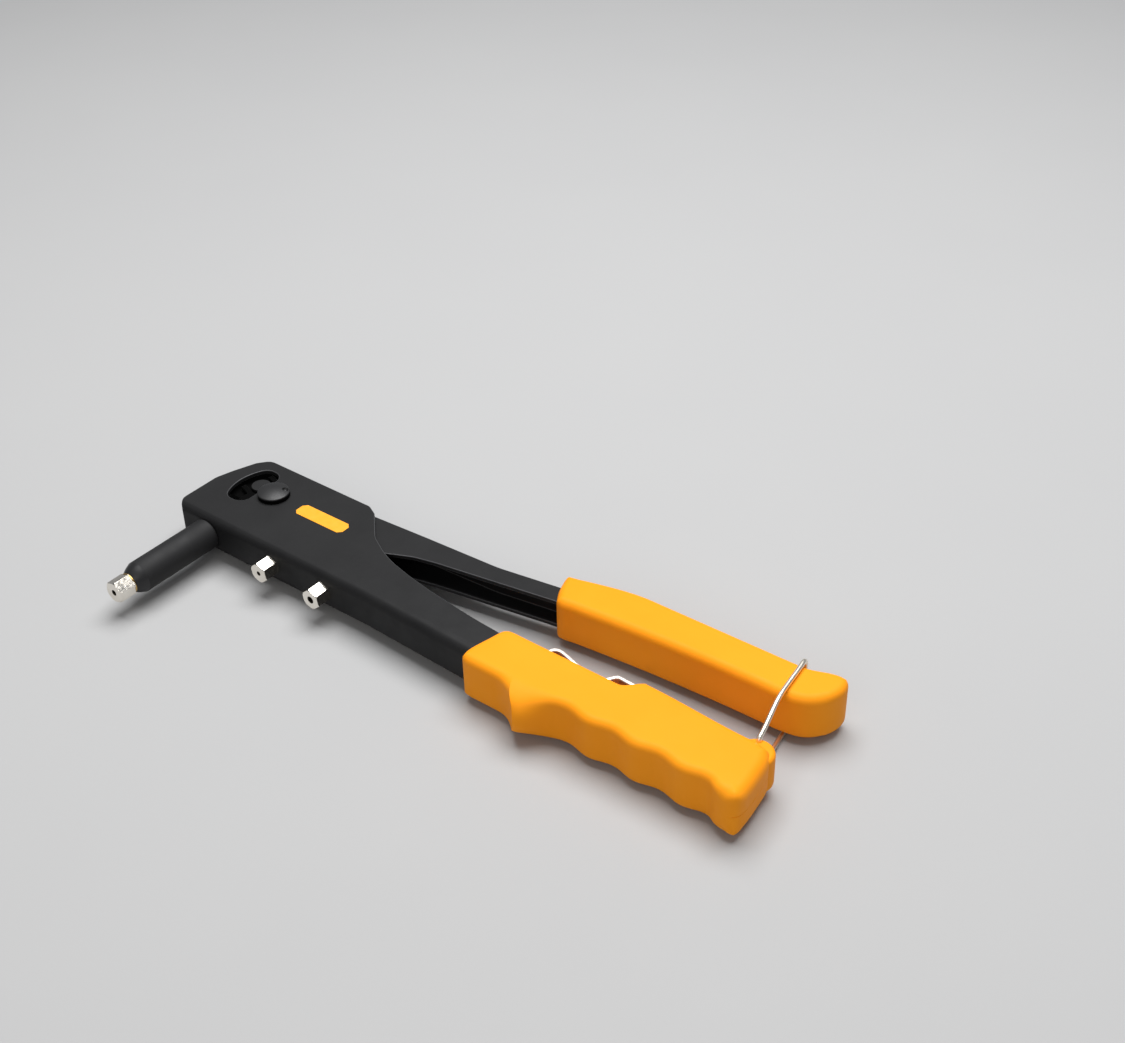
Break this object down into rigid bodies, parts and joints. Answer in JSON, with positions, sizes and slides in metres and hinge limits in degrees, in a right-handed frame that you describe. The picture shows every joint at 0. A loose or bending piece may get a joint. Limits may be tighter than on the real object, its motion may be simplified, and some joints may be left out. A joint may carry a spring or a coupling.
{
  "type": "hand riveter",
  "caption": "Hand riveter with a folded steel body, yellow moulded grips, a barrel with a screw-in nosepiece, stowed spare nosepieces and a wire bail that holds the handles shut.",
  "frame": {"origin": "mouth of the installed nosepiece, on the barrel's axis, midway between the side plates", "axes": "+X along the tool from the head to the grips, -Y out of the nosepiece, +Z out of the labelled side plate"},
  "size_m": [0.2683, 0.1099, 0.0236],
  "materials": {
    "dark_steel": "satin dark grey finish",
    "barrel_steel": "dark turned steel",
    "bright_nickel": "bright nickel plate",
    "brass": "bright",
    "yellow_plastic": "smooth moulded, semi-gloss",
    "label_yellow": "thin printed label, blank",
    "inner_steel": "oiled machined steel",
    "spring_steel": "spring wire"
  },
  "bodies": {
    "frame": {"body_frame": "dark_steel", "barrel": "barrel_steel", "barrel_nut": "dark_steel", "nosepiece": "bright_nickel", "nose_ring": "brass", "spare_nosepiece_a": "bright_nickel", "spare_nosepiece_b": "bright_nickel", "pivot_pin": "dark_steel", "pivot_washer": "inner_steel", "label_plate": "label_yellow", "fixed_grip": "yellow_plastic"},
    "lever": {"moving_handle": "dark_steel", "moving_grip": "yellow_plastic"},
    "jaw_carriage": {"pull_block": "inner_steel", "jaw_case": "inner_steel", "case_lock_nut": "bright_nickel", "jaw_spring": "spring_steel"},
    "jaw_left": {"jaw_left": "inner_steel"},
    "jaw_right": {"jaw_right": "inner_steel"},
    "jaw_pusher": {"jaw_pusher": "inner_steel"},
    "bail": {"bail": "bright_nickel"},
    "wrench": {"nosepiece_wrench": "bright_nickel"}
  },
  "joints": [
    {"name": "handle_swing", "type": "hinge", "parent": "frame", "child": "lever", "pos_m": [0.0119, 0.073, 0], "axis": [0, 0, 1], "range_deg": [0, 60]},
    {"name": "carriage_slide", "type": "slide", "parent": "frame", "child": "jaw_carriage", "axis": [0, -1, 0], "range_m": [0, 0.0142]},
    {"name": "jaw_left_slide", "type": "slide", "parent": "jaw_carriage", "child": "jaw_left", "axis": [-0.1289, 0.9917, 0], "range_m": [0, 0.0015], "stiffness_N_per_m": 1000, "springref_m": -0.002, "deforming": ["jaw_spring"]},
    {"name": "jaw_right_slide", "type": "slide", "parent": "jaw_carriage", "child": "jaw_right", "axis": [0.1289, 0.9917, 0], "range_m": [0, 0.0015]},
    {"name": "jaw_pusher_slide", "type": "slide", "parent": "jaw_carriage", "child": "jaw_pusher", "axis": [0, 1, 0], "range_m": [0, 0.0015]},
    {"name": "bail_swing", "type": "hinge", "parent": "frame", "child": "bail", "pos_m": [0.2403, 0.0679, 0], "axis": [0, 0, -1], "range_deg": [0, 110]},
    {"name": "wrench_slide", "type": "slide", "parent": "frame", "child": "wrench", "axis": [-1, 0, 0], "range_m": [0, 0.015]}
  ],
  "couplings": [
    {"joint": "carriage_slide", "follows": "handle_swing", "m_per_rad": 0.013254},
    {"joint": "jaw_right_slide", "follows": "jaw_left_slide", "ratio": 1},
    {"joint": "jaw_pusher_slide", "follows": "jaw_left_slide", "ratio": 0.9917}
  ]
}
